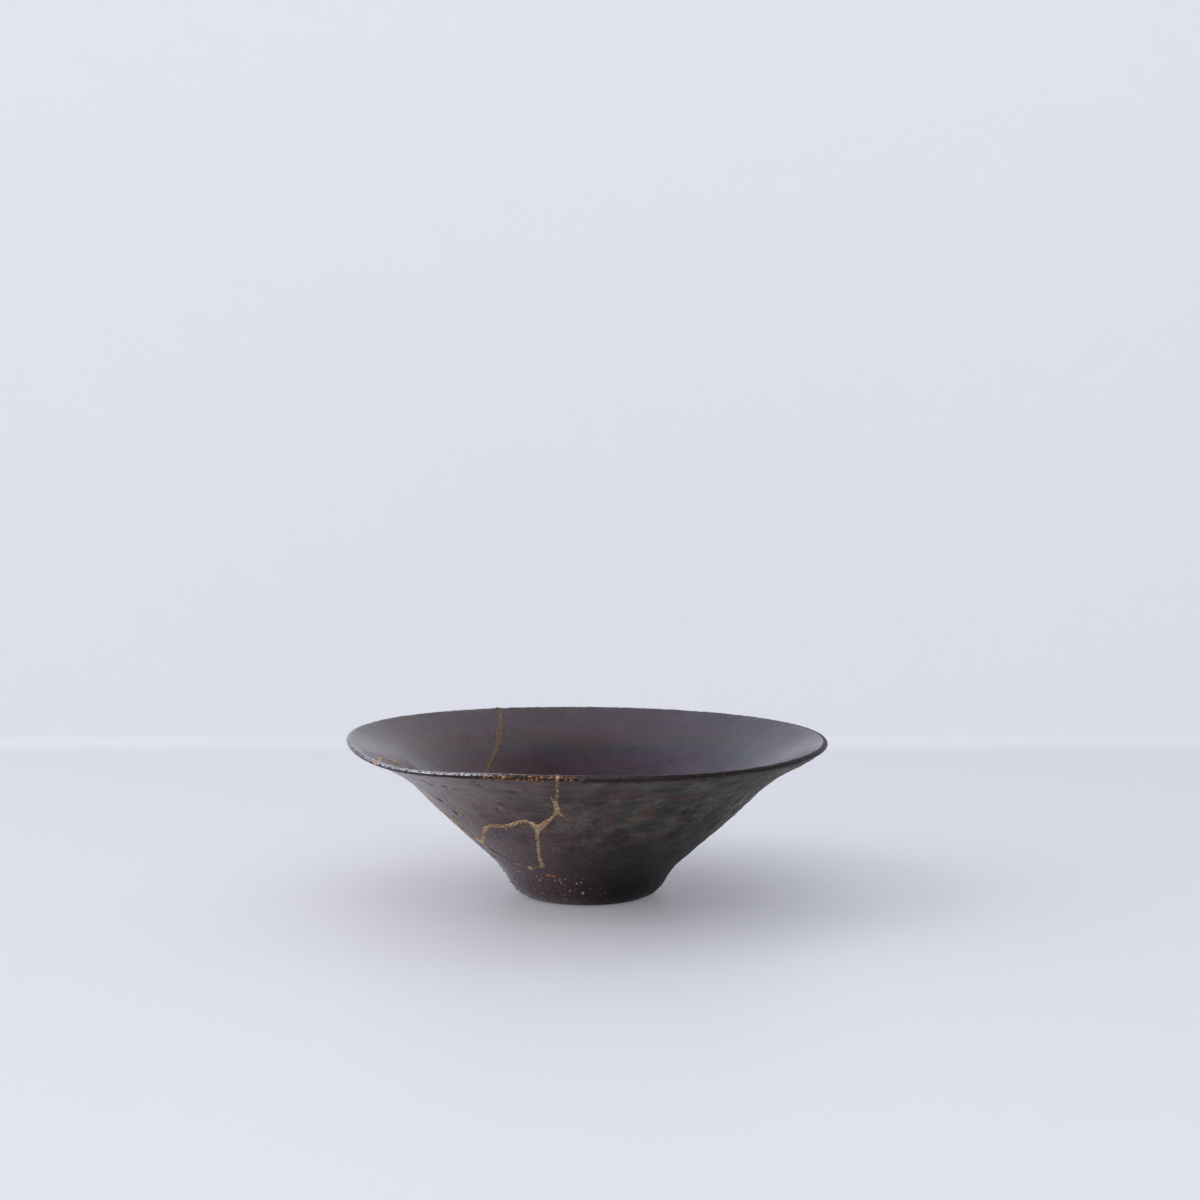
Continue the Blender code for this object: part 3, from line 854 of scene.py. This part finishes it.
# The grit
# Coarse grit that came to the surface of the clay on the fire side, above the
# foot. The kiln burnt the grains cream, rust and orange, and the glaze holds
# each one by about half.
GRIT_MARKS = [
    (247.0, 0.181), (249.4, 0.177), (252.9, 0.157), (245.7, 0.188), (240.9, 0.153), (243.8, 0.090),
    (222.8, 0.088), (250.6, 0.123), (258.7, 0.179), (263.5, 0.140), (267.4, 0.102), (238.1, 0.145),
    (254.3, 0.078), (272.2, 0.121), (237.3, 0.165), (227.8, 0.165), (224.0, 0.179), (230.0, 0.120),
    (225.9, 0.133), (232.5, 0.311), (233.4, 0.342), (257.9, 0.378), (256.0, 0.309), (239.2, 0.508),
    (248.9, 0.620), (240.0, 0.627),
]
# The first marks are of rust, and broader than the others
RUST_MARKS = 4
RUST_TONE = 0.98
RUST_BREADTH = 1.25


def burnt_grit_stuff():
    """Grains of grit, burnt dull: cream, tan, rust and orange."""
    material, add, shader = new_material("burnt_grit")
    tone = add("Attribute", attribute_name="tone").outputs["Fac"]
    place = add("TexCoord").outputs["Object"]
    grain = add("TexNoise", [place, 1 / (0.3 * MM), 3.0])
    colour = add("ValToRGB", [tone], stops=[
        (0.0, "3f2a22"), (0.35, "5e4a3e"), (0.6, "857362"), (0.74, "ad9c82"), (0.8, "6e4432"),
        (1.0, "8e5a3c"),
    ])
    shade = add("MapRange", [grain, 0.3, 0.7, 0.65, 1.1])
    mixed = add("VectorMath", [colour, shade], "SCALE")
    feed(shader, {"Base Color": mixed, "Roughness": 0.75})
    return material


GRIT = {
    "Uncut Bowl": uncut_bowl, "Marked Size": 0.62 * MM, "Strewn Size": 0.40 * MM,
    "Density": 130000.0, "Lowest": 0.9 * MM, "Highest": 0.42 * BOWL_HEIGHT,
    "Fire Side": FIRE_SIDE, "Spread": 0.45, "Seed": 11, "Material": burnt_grit_stuff(),
}


def burnt_grit_tree(values):
    """Sets grains on marked points and strews smaller ones over the fire side."""
    tree, add, given = new_tree("burnt_grit", values)
    clay = add("ObjectInfo", [given["Uncut Bowl"]]).outputs["Geometry"]
    place = add("InputPosition")
    flat = add("VectorMath", [place, (1.0, 1.0, 0.0)], "MULTIPLY")
    around = add("VectorMath", [flat], "NORMALIZE")
    rise = add("SeparateXYZ", [place]).outputs["Z"]
    mark = add("InputNamedAttribute", {"Name": "skin"}, data_type="FLOAT")
    fired = add("VectorMath", [around, given["Fire Side"]], "DOT_PRODUCT")
    near = add("MapRange", [fired, given["Spread"], 1.0])
    low = add("MapRange", [rise, given["Highest"], given["Lowest"]])
    off_foot = add("Compare", [rise, given["Lowest"]], "GREATER_THAN")
    crowd = add("Math", [near, low], "MULTIPLY")
    crowd = add("Math", [crowd, off_foot], "MULTIPLY")
    density = add("Math", [crowd, given["Density"]], "MULTIPLY")
    outer = add("Compare", [mark, 0.5], "GREATER_THAN")
    wall = add("SeparateGeometry", [clay, outer])
    strewing = {"Mesh": wall, "Density": density, "Seed": given["Seed"]}
    strewn = add("DistributePointsOnFaces", strewing).outputs["Points"]
    marked = add("MeshToPoints", [given["Geometry"]])
    grains = []
    kinds = ((strewn, given["Strewn Size"], 1), (marked, given["Marked Size"], 2))
    for points, size, shift in kinds:
        seed = add("Math", [given["Seed"], shift])
        turns = {0: (0.0, 0.0, 0.0), 1: (6.28, 6.28, 6.28), "Seed": seed}
        turn = add("RandomValue", turns, data_type="FLOAT_VECTOR")
        least = add("Math", [size, 0.5], "MULTIPLY")
        breadth = add("RandomValue", {0: least, 1: size, "Seed": seed}, data_type="FLOAT")
        low_tone, high_tone = (0.0, 0.50) if shift == 1 else (0.42, 0.68)
        tone = add("RandomValue", {0: low_tone, 1: high_tone, "Seed": seed}, data_type="FLOAT")
        if shift == 2:
            index = add("InputIndex")
            rust = add("Compare", [index, RUST_MARKS], "LESS_THAN", data_type="INT")
            tone = add("Switch", [rust, tone, RUST_TONE], input_type="FLOAT")
            broad = add("Math", [size, RUST_BREADTH], "MULTIPLY")
            breadth = add("Switch", [rust, breadth, broad], input_type="FLOAT")
        ball = add("MeshIcoSphere", {"Radius": 1.0, "Subdivisions": 2})
        shard = add("VectorMath", [(1.0, 0.72, 0.58), breadth], "SCALE")
        setting = {"Points": points, "Instance": ball, "Rotation": turn, "Scale": shard}
        crowded = add("InstanceOnPoints", setting)
        grains.append(add(
            "StoreNamedAttribute", {"Geometry": crowded, "Name": "tone", "Value": tone},
            data_type="FLOAT", domain="INSTANCE",
        ))
    joined = add("JoinGeometry", [grains[0]])
    feed(joined, [grains[1]])
    whole = add("RealizeInstances", [joined])
    chip = add("TexNoise", [place, 1 / (0.6 * MM), 2.0]).outputs["Color"]
    chipped = add("VectorMath", [chip, (0.5, 0.5, 0.5)], "SUBTRACT")
    uneven = add("VectorMath", [chipped, 0.5 * MM], "SCALE")
    broken = add("SetPosition", {0: whole, "Offset": uneven})
    burnt = add("SetMaterial", {0: broken, "Material": given["Material"]})
    add("GroupOutput", [burnt])
    return tree


grit_cloud = point_cloud("grit_marks", [on_wall(azimuth, share) for azimuth, share in GRIT_MARKS])
use_tree(grit_cloud, burnt_grit_tree(GRIT), GRIT)
burnt_grit = linked("burnt_grit", evaluated_mesh(grit_cloud))
ease_out_of_true(burnt_grit)
burnt_grit.data.shade_smooth()
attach(burnt_grit, "root")


# The gold
# The joints are glued with lacquer and filled flush with lacquer paste. Then a
# bead of lacquer is brushed over each line on both faces, and gold powder is
# dusted on while it is wet. The line swells where two breaks meet.
# Short strokes of gold beside the lines
SPUR = [
    (260.6, 0.647, 0.0014), (261.3, 0.630, 0.0012), (262.1, 0.618, 0.0016), (262.5, 0.612, 0.0008),
]
TOUCHES = [
    [(260.7, 0.700, 0.0014), (260.5, 0.743, 0.0011), (260.3, 0.788, 0.0005)],
    [(209.8, 0.512, 0.0006), (207.0, 0.484, 0.0018), (204.1, 0.452, 0.0008)],
    [(217.6, 0.549, 0.0004), (219.2, 0.542, 0.0010), (221.0, 0.535, 0.0004)],
    [(232.8, 0.230, 0.0005), (235.8, 0.221, 0.0019), (238.6, 0.204, 0.0006)],
    [(263.6, 0.507, 0.0005), (263.9, 0.506, 0.0011), (264.3, 0.505, 0.0005)],
    [(267.5, 0.550, 0.0004), (267.7, 0.549, 0.0008), (268.0, 0.548, 0.0004)],
]
LIP_REACH = 0.975
BEAD_SPACING = 0.00035
GOLD_VOXEL = 0.00018
FRONT_BREADTH = 0.88
BACK_BREADTH = 1.05

clay_tree = BVHTree.FromPolygons(
    [vert.co for vert in uncut_bowl.data.vertices],
    [face.vertices for face in uncut_bowl.data.polygons],
)


def inside_of(azimuth, share):
    """The inner face's point straight through the wall from an outer point."""
    inward = -cut_direction(azimuth)
    start = on_wall(azimuth, share) + inward * (LIP_THICKNESS / 4)
    return clay_tree.ray_cast(start, inward)[0]


def over_lip(line, steps=6):
    """Where a break crosses the lip, from the outer wall to the inner, as (point, radius)."""
    crossing = []
    out, up = math.sin(CUT_SLOPE), -math.cos(CUT_SLOPE)
    for step in range(steps + 1):
        radius, height = lip_point(LIP_SLOPE - math.pi / 2 + math.pi * step / steps)
        starts = [on_wall(0.0, share) for azimuth, share, width in line]
        sides = [(radius - p.x) * out + (height - p.z) * up for p in starts]
        i = next(k for k in range(len(line) - 1) if sides[k] * sides[k + 1] <= 0)
        t = sides[i] / (sides[i] - sides[i + 1])
        azimuth, share, width = (a + t * (b - a) for a, b in zip(line[i], line[i + 1]))
        crossing.append((turned_point(azimuth, radius, height), width / 2))
    return crossing


def joint_lines(route):
    """A joint's lines on both faces of the wall, as lists of (point, radius)."""
    whole_line = smooth_line(route, ROUTE_STEPS)
    line = [step for step in whole_line if step[1] <= LIP_REACH]
    outer = [(on_wall(azimuth, share), width / 2) for azimuth, share, width in line]
    inner = [(inside_of(azimuth, share), width / 2) for azimuth, share, width in line]
    if max(share for azimuth, share, width in route) < 1.0:
        return [outer, inner], list(zip(outer, inner))
    if route[0][1] > 1.0:
        outer, inner = outer[::-1], inner[::-1]
    crest = over_lip(whole_line)
    return [outer + crest + inner[::-1]], list(zip(outer, inner)) + [(crest[1], crest[-2])]


def gold_curve(name, lines):
    curve = bpy.data.curves.new(name, "CURVE")
    curve.dimensions = "3D"
    for line in lines:
        spline = curve.splines.new("POLY")
        spline.points.add(len(line) - 1)
        for point, (place, radius) in zip(spline.points, line):
            point.co = (*place, 1.0)
            point.radius = radius
    return linked(name, curve)


def paste_slabs(name, webs):
    """The lacquer paste inside the wall: a thin slab along each joint."""
    bm = bmesh.new()
    for web in webs:
        rows = [(bm.verts.new(outer[0]), bm.verts.new(inner[0])) for outer, inner in web]
        for (a, b), (c, d) in zip(rows, rows[1:]):
            bm.faces.new((a, c, d, b))
    mesh = bpy.data.meshes.new(name)
    bm.to_mesh(mesh)
    bm.free()
    slabs = linked(name, mesh)
    solid = slabs.modifiers.new("Paste", "SOLIDIFY")
    solid.thickness = JOINT_GAP
    solid.offset = 0.0
    slabs.hide_render = True
    return slabs


def gold_bead_tree(values):
    """Brushed beads along lines on the clay, flattened to lie on it."""
    tree, add, given = new_tree("gold_bead", values)
    clay = add("ObjectInfo", [given["Clay"]]).outputs["Geometry"]
    paste = add("ObjectInfo", [given["Paste"]]).outputs["Geometry"]
    place = add("InputPosition")
    line = add("ResampleCurve", {0: given["Geometry"], "Length": given["Spacing"]}, mode="LENGTH")
    per_waver = add("Math", [1.0, given["Waver Size"]], "DIVIDE")
    waver = add("TexNoise", [place, per_waver, 2.0]).outputs["Color"]
    centred = add("VectorMath", [waver, (0.5, 0.5, 0.5)], "SUBTRACT")
    offset = add("VectorMath", [centred, given["Waver"]], "SCALE")
    wavered = add("SetPosition", {0: line, "Offset": offset})
    per_swell = add("Math", [1.0, given["Swell Size"]], "DIVIDE")
    swell = add("TexNoise", [place, per_swell, 2.0])
    most = add("Math", [1.0, given["Swell"]], "ADD")
    least = add("Math", [1.0, given["Swell"]], "SUBTRACT")
    factor = add("MapRange", [swell, 0.3, 0.7, least, most])
    radius = add("InputRadius")
    scale = add("Math", [radius, factor], "MULTIPLY")
    ring = add("CurvePrimitiveCircle", {"Resolution": given["Sides"], "Radius": 1.0})
    brushed = {"Curve": wavered, "Profile Curve": ring, "Scale": scale, "Fill Caps": True}
    tube = add("CurveToMesh", brushed)
    nearest = add("Proximity", [clay], target_element="FACES").outputs["Position"]
    normal = add("InputNormal")
    way = add("SampleNearestSurface", [clay, normal], data_type="FLOAT_VECTOR")
    above = add("VectorMath", [place, nearest], "SUBTRACT")
    sign = add("VectorMath", [above, way], "DOT_PRODUCT")
    proud = add("Compare", [sign, 0.0], "GREATER_THAN")
    press = add("Switch", [proud, given["Depth"], given["Flatness"]], input_type="FLOAT")
    pressed = add("VectorMath", [above, press], "SCALE")
    lying = add("VectorMath", [nearest, pressed])
    bead = add("SetPosition", {0: tube, "Position": lying})
    joined = add("JoinGeometry", [bead])
    feed(joined, [paste])
    whole = add("RealizeInstances", [joined])
    gilded = add("SetMaterial", {0: whole, "Material": given["Material"]})
    add("GroupOutput", [gilded])
    return tree


def dusted_tree(values):
    """The uneven skin that powder leaves on wet lacquer."""
    tree, add, given = new_tree("dusted_gold", values)
    place = add("InputPosition")
    normal = add("InputNormal")
    moves = []
    for name in ("Ripple", "Grain"):
        per_size = add("Math", [1.0, given[name + " Size"]], "DIVIDE")
        noise = add("TexNoise", [place, per_size, 2.0])
        unit = add("MapRange", [noise, 0.3, 0.7, -1.0, 1.0])
        moves.append(add("Math", [unit, given[name]], "MULTIPLY"))
    move = add("Math", moves, "ADD")
    offset = add("VectorMath", [normal, move], "SCALE")
    moved = add("SetPosition", {0: given["Geometry"], "Offset": offset})
    whole = add("RealizeInstances", [moved])
    gilded = add("SetMaterial", {0: whole, "Material": given["Material"]})
    add("GroupOutput", [gilded])
    return tree


# Spots where the gold is whiter or rubbed away: azimuth and share, reach
PALE_SPOTS = [(LEFT_KNOT[:2], 0.0042), ((235.8, 0.221), 0.0022), (UPPER_KNOT[:2], 0.0030)]
WORN_SPOTS = [
    ((262.5, 0.90), 0.0125), ((227.0, 0.245), 0.0060), ((219.5, 0.275), 0.0050),
    ((242.5, 0.228), 0.0026),
]


def powdered_gold():
    """Gold powder on dark lacquer: a soft metal shine, rubbed to brown near the rim."""
    material, add, shader = new_material("powdered_gold_lacquer")
    place = add("TexCoord").outputs["Object"]
    powder = add("TexNoise", [place, 1 / (0.42 * MM), 5.0])
    wear = add("TexNoise", [place, 1 / (2.8 * MM), 4.0])
    colour = add("ValToRGB", [powder], stops=[
        (0.36, "42332a"), (0.46, "957656"), (0.55, "c7a57e"), (0.66, "efd5ae"),
    ])
    for (azimuth, share), reach in PALE_SPOTS:
        away = add("VectorMath", [place, on_wall(azimuth, share)], "DISTANCE")
        pale = add("MapRange", [away, reach, 0.4 * reach, 0.0, 0.22])
        colour = add("Mix", [pale, colour, linear("d9c9ae")], data_type="RGBA")
    for (azimuth, share), reach in WORN_SPOTS:
        away = add("VectorMath", [place, on_wall(azimuth, share)], "DISTANCE")
        rubbed = add("MapRange", [away, reach, 0.7 * reach, 0.0, 0.17])
        wear = add("Math", [wear, rubbed])
    worn = add("MapRange", [wear, 0.56, 0.66, 0.0, 0.9])
    colour = add("Mix", [worn, colour, linear("4a3226")], data_type="RGBA")
    shine = add("MapRange", [worn, 0.0, 0.9, 0.75, 0.0])
    matt = add("MapRange", [powder, 0.3, 0.7, 0.4, 0.6])
    bump = add("Bump", {"Strength": 0.6, "Distance": 0.1 * MM, "Height": powder})
    feed(shader, {"Base Color": colour, "Metallic": shine, "Roughness": matt, "Normal": bump})
    return material


def rubbed_gold():
    """The same gold inside the bowl, dulled by washing: lacquer shows through it."""
    material, add, shader = new_material("rubbed_gold_lacquer")
    place = add("TexCoord").outputs["Object"]
    powder = add("TexNoise", [place, 1 / (0.5 * MM), 5.0])
    colour = add("ValToRGB", [powder], stops=[
        (0.34, "40332a"), (0.5, "604c39"), (0.64, "7c6449"), (0.78, "957a58"),
    ])
    bump = add("Bump", {"Strength": 0.5, "Distance": 0.08 * MM, "Height": powder})
    feed(shader, {"Base Color": colour, "Metallic": 0.35, "Roughness": 0.55, "Normal": bump})
    return material


def gold_joint(name, routes, touches, stuff, breadth):
    """A gold joint: beads on both faces and paste between, fused into one skin."""
    lines, webs = [], []
    for route in routes:
        faces, web = joint_lines(route)
        lines += faces
        webs.append(web)
    for touch in touches:
        steps = smooth_line(touch, ROUTE_STEPS)
        lines.append([(on_wall(azimuth, share), width / 2) for azimuth, share, width in steps])
    lines = [[(place, radius * breadth) for place, radius in line] for line in lines]
    paste = paste_slabs(f"{name}_paste", webs)
    beads = gold_curve(f"{name}_lines", lines)
    bead = {
        "Clay": uncut_bowl, "Paste": paste,
        "Spacing": BEAD_SPACING, "Flatness": 0.38, "Depth": 0.75,
        "Waver": 0.5 * MM, "Waver Size": 1.6 * MM, "Swell": 0.22, "Swell Size": 1.4 * MM,
        "Sides": 14, "Material": stuff,
    }
    use_tree(beads, gold_bead_tree(bead), bead)
    joint = linked(name, evaluated_mesh(beads))
    for helper in (beads, paste):
        bpy.data.objects.remove(helper, do_unlink=True)
    fuse = joint.modifiers.new("Fuse", "REMESH")
    fuse.mode = "VOXEL"
    fuse.voxel_size = GOLD_VOXEL
    settle = joint.modifiers.new("Settle", "SMOOTH")
    settle.factor = 0.5
    settle.iterations = 5
    dust = {
        "Ripple": 0.05 * MM, "Ripple Size": 1.3 * MM, "Grain": 0.025 * MM, "Grain Size": 0.5 * MM,
        "Material": stuff,
    }
    use_tree(joint, dusted_tree(dust), dust)
    joint.data = evaluated_mesh(joint)
    joint.modifiers.clear()
    ease_out_of_true(joint)
    joint.data.shade_smooth()
    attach(joint, "root")
    return joint


front_gold = gold_joint(
    "gold_joint_front",
    [RIM_TO_UPPER, UPPER_TO_LEFT, LEFT_TO_RIM, LEFT_TO_LOWER, UPPER_TO_LOWER],
    [SPUR] + TOUCHES,
    powdered_gold(),
    FRONT_BREADTH,
)
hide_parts("gold_seam_front")
back_gold = gold_joint("gold_joint_back", [BACK_CRACK], [], rubbed_gold(), BACK_BREADTH)
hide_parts("gold_seam_back")

for helper in (uncut_bowl, dent_cloud, pinhole_cloud, grit_cloud):
    bpy.data.objects.remove(helper, do_unlink=True)


# The table and the light
# A plain pale table that turns up into a pale wall behind the bowl, a large
# soft window on the left, and the camera a little above the rim.
FLOOR_DROP = 0.00002
TABLE_BACK = 0.302
COVE_RADIUS = 0.006
COVE_STEPS = 8
STAGE_HALF_WIDTH = 3.0
TABLE_FRONT = -3.0
WALL_TOP = 3.0


def one_sided_paint():
    """Pale matt paint on the front of the table and wall; their backs let the eye through."""
    material, add, shader = new_material("pale_matt_paint")
    feed(shader, {"Base Color": linear("ecedf0"), "Roughness": 0.5})
    behind = add("NewGeometry").outputs["Backfacing"]
    clear = add("BsdfTransparent")
    sides = add("MixShader", [behind, shader, clear])
    feed(material.node_tree.nodes["Material Output"], {"Surface": sides})
    return material


def table_and_wall():
    arc = [math.pi / 2 * step / COVE_STEPS for step in range(COVE_STEPS + 1)]
    profile = [(TABLE_FRONT, 0.0)]
    for angle in arc:
        cove = (TABLE_BACK + COVE_RADIUS * math.sin(angle), COVE_RADIUS * (1 - math.cos(angle)))
        profile.append(cove)
    profile.append((TABLE_BACK + COVE_RADIUS, WALL_TOP))
    bm = bmesh.new()
    rows = [
        [bm.verts.new((x, y, z - FLOOR_DROP)) for y, z in profile]
        for x in (-STAGE_HALF_WIDTH, STAGE_HALF_WIDTH)
    ]
    for i in range(len(profile) - 1):
        bm.faces.new((rows[0][i], rows[1][i], rows[1][i + 1], rows[0][i + 1]))
    mesh = bpy.data.meshes.new("table_and_wall")
    bm.to_mesh(mesh)
    bm.free()
    mesh.materials.append(one_sided_paint())
    mesh.shade_smooth()
    return linked("table_and_wall", mesh)


table_and_wall()


def area_light(name, place, target, width, height, power, colour):
    lamp = bpy.data.lights.new(name, "AREA")
    lamp.shape = "RECTANGLE"
    lamp.size = width
    lamp.size_y = height
    lamp.energy = power
    lamp.color = linear(colour)[:3]
    item = linked(name, lamp)
    item.location = place
    item.rotation_euler = (Vector(target) - Vector(place)).to_track_quat("-Z", "Y").to_euler()
    return item


area_light("window", (-1.5, -0.25, 1.1), (0.0, 0.0, 0.03), 1.7, 1.3, 11, "f8f8ff")
fill = area_light("fill", (0.3, -1.50, 1.05), (0.0, 0.0, 0.0), 2, 2, 20, "f8f8ff")
fill.data.use_shadow = False


BRIGHT_WAY = (-0.80, 0.30, 0.52)
DIM_STRENGTH = 0.17
BRIGHT_STRENGTH = 0.64


def pale_room():
    """A pale room: bright towards the window, dimmer on the far side and in front."""
    world = bpy.data.worlds.new("pale_room")
    world.use_nodes = True
    add = partial(add_node, world.node_tree)
    ahead = add("TexCoord").outputs["Generated"]
    turn = add("VectorMath", [ahead, BRIGHT_WAY], "DOT_PRODUCT")
    strength = add("MapRange", [turn, -1.0, 1.0, DIM_STRENGTH, BRIGHT_STRENGTH])
    feed(world.node_tree.nodes["Background"], {"Color": linear("e6e8f0"), "Strength": strength})
    return world


bpy.context.scene.world = pale_room()
bpy.context.scene.view_settings.view_transform = "Standard"

PHOTO_WIDTH = 1200
FOCAL_PIXELS = 2514
camera_data = bpy.data.cameras.new("camera")
camera_data.sensor_fit = "HORIZONTAL"
camera_data.sensor_width = 36.0
camera_data.lens = FOCAL_PIXELS / PHOTO_WIDTH * camera_data.sensor_width
camera_data.clip_start = 0.01
camera = linked("camera", camera_data)
camera.location = (0.00413, -0.780, 0.1619)
camera.rotation_euler = (math.radians(90.0 - 5.086), 0.0, 0.0)
bpy.context.scene.camera = camera
